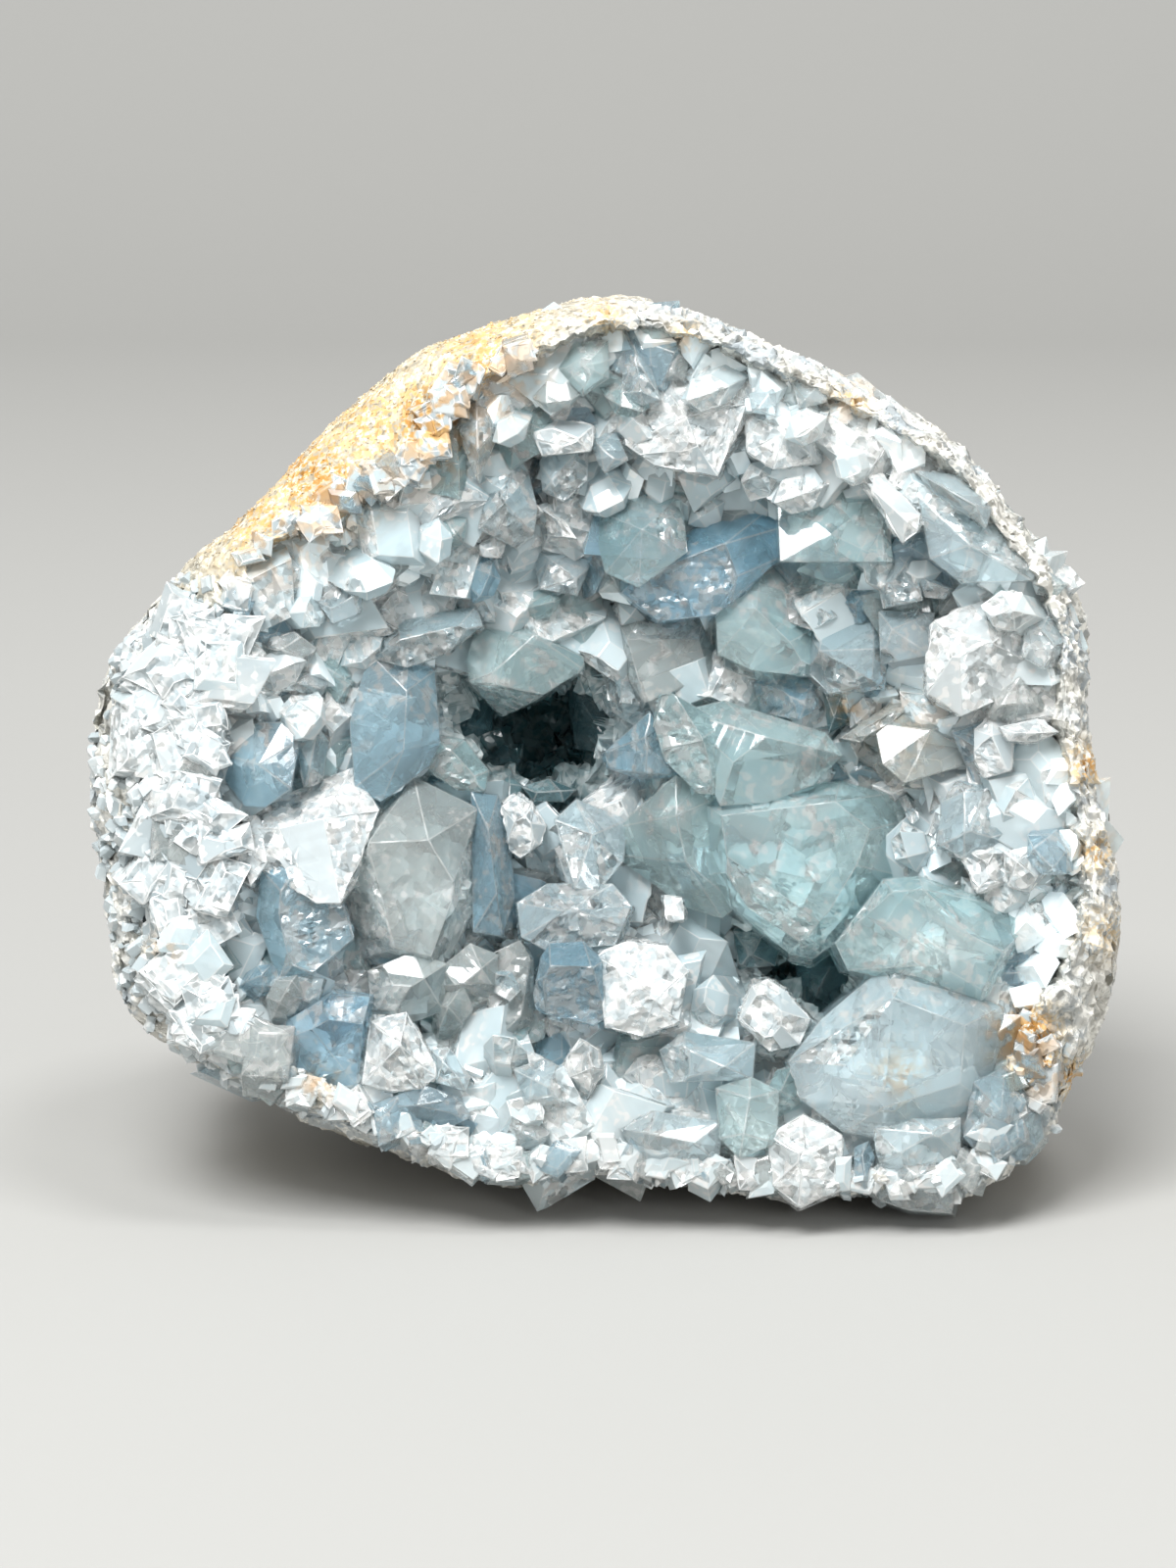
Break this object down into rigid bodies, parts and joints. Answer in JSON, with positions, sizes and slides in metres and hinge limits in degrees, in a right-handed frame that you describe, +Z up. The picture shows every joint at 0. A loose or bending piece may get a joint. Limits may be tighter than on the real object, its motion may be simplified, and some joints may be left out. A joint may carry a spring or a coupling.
{
  "type": "celestite geode",
  "caption": "Open half of a celestite geode: a rough stained stone bowl lined with grown-together pale blue crystals, standing on a small flat spot.",
  "frame": {"origin": "middle of the bounding box, on the plane that the geode's flat spot rests on", "axes": "+Z up, -Y out of the open crystal side, which leans back a little, +X to the right as a viewer faces the crystals"},
  "size_m": [0.1538, 0.0977, 0.1332],
  "materials": {
    "matrix": "granular white stone with ochre stains",
    "crystal": "vitreous, translucent pale blue"
  },
  "bodies": {
    "root": {"matrix_shell": "matrix", "crystal_crust": "crystal"}
  },
  "joints": []
}
